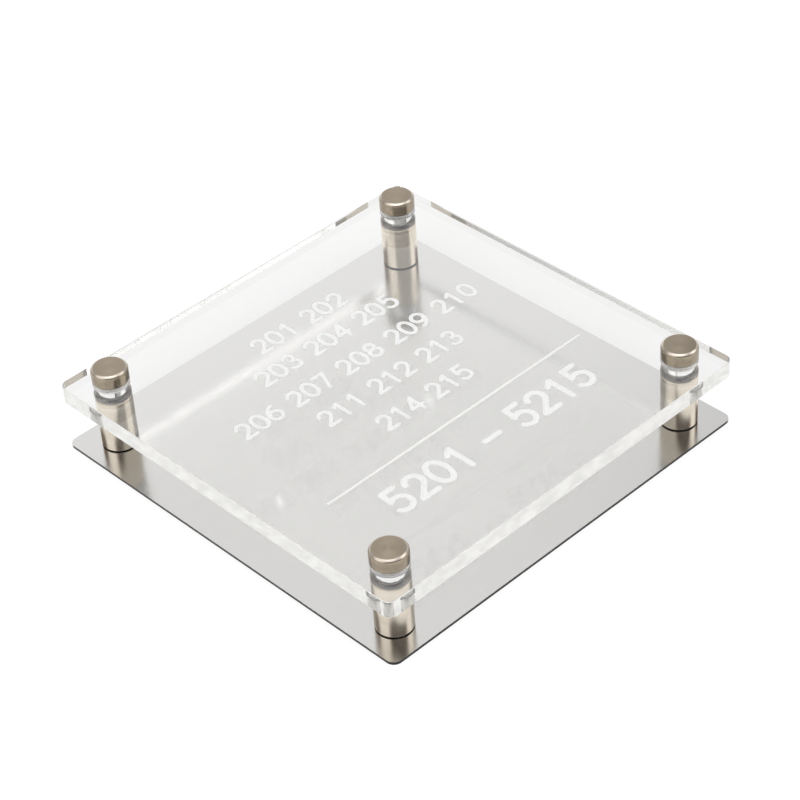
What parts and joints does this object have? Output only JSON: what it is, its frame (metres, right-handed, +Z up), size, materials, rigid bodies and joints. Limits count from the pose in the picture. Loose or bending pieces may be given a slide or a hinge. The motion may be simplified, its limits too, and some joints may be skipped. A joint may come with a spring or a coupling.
{
  "type": "door name plate",
  "caption": "Square door name plate: a clear panel held off a thin steel back plate by round screw stand-offs with bevelled caps.",
  "frame": {"origin": "middle of the back plate's rear face, which lies against the door", "axes": "+Z out of the door, through the sign; +X to the right of a person reading the sign; +Y up the sign. The sign lies on its back with +Z up"},
  "size_m": [0.15, 0.15, 0.031],
  "materials": {
    "plate_steel": "fine brushed stainless steel",
    "clear_acrylic": "clear cast acrylic, polished faces and edges",
    "satin_nickel": "satin nickel, finely turned",
    "clear_washer": "clear, slightly milky plastic",
    "stud_steel": "bright zinc-plated screw thread",
    "white_fill": "matt white paint in the engraved writing"
  },
  "bodies": {
    "root": {"back_plate": "plate_steel", "front_panel": "clear_acrylic", "barrel_bottom_left": "satin_nickel", "lower_washer_bottom_left": "clear_washer", "barrel_bottom_right": "satin_nickel", "lower_washer_bottom_right": "clear_washer", "barrel_top_right": "satin_nickel", "lower_washer_top_right": "clear_washer", "barrel_top_left": "satin_nickel", "lower_washer_top_left": "clear_washer"},
    "washer_bottom_left": {"upper_washer_bottom_left": "clear_washer"},
    "cap_bottom_left": {"cap_bottom_left": "satin_nickel", "stud_bottom_left": "stud_steel"},
    "washer_bottom_right": {"upper_washer_bottom_right": "clear_washer"},
    "cap_bottom_right": {"cap_bottom_right": "satin_nickel", "stud_bottom_right": "stud_steel"},
    "washer_top_right": {"upper_washer_top_right": "clear_washer"},
    "cap_top_right": {"cap_top_right": "satin_nickel", "stud_top_right": "stud_steel"},
    "washer_top_left": {"upper_washer_top_left": "clear_washer"},
    "cap_top_left": {"cap_top_left": "satin_nickel", "stud_top_left": "stud_steel"}
  },
  "joints": [
    {"name": "cap_lift_bottom_left", "type": "slide", "parent": "root", "child": "washer_bottom_left", "axis": [0, 0, 1], "range_m": [0, 0.00705]},
    {"name": "cap_turn_bottom_left", "type": "hinge", "parent": "washer_bottom_left", "child": "cap_bottom_left", "pos_m": [-0.063, -0.063, 0.026], "axis": [0, 0, 1], "range_deg": [0, 2520]},
    {"name": "cap_lift_bottom_right", "type": "slide", "parent": "root", "child": "washer_bottom_right", "axis": [0, 0, 1], "range_m": [0, 0.00705]},
    {"name": "cap_turn_bottom_right", "type": "hinge", "parent": "washer_bottom_right", "child": "cap_bottom_right", "pos_m": [0.063, -0.063, 0.026], "axis": [0, 0, 1], "range_deg": [0, 2520]},
    {"name": "cap_lift_top_right", "type": "slide", "parent": "root", "child": "washer_top_right", "axis": [0, 0, 1], "range_m": [0, 0.00705]},
    {"name": "cap_turn_top_right", "type": "hinge", "parent": "washer_top_right", "child": "cap_top_right", "pos_m": [0.063, 0.063, 0.026], "axis": [0, 0, 1], "range_deg": [0, 2520]},
    {"name": "cap_lift_top_left", "type": "slide", "parent": "root", "child": "washer_top_left", "axis": [0, 0, 1], "range_m": [0, 0.00705]},
    {"name": "cap_turn_top_left", "type": "hinge", "parent": "washer_top_left", "child": "cap_top_left", "pos_m": [-0.063, 0.063, 0.026], "axis": [0, 0, 1], "range_deg": [0, 2520]}
  ],
  "couplings": [
    {"joint": "cap_lift_bottom_left", "follows": "cap_turn_bottom_left", "m_per_rad": 0.00015915},
    {"joint": "cap_lift_bottom_right", "follows": "cap_turn_bottom_right", "m_per_rad": 0.00015915},
    {"joint": "cap_lift_top_right", "follows": "cap_turn_top_right", "m_per_rad": 0.00015915},
    {"joint": "cap_lift_top_left", "follows": "cap_turn_top_left", "m_per_rad": 0.00015915}
  ]
}
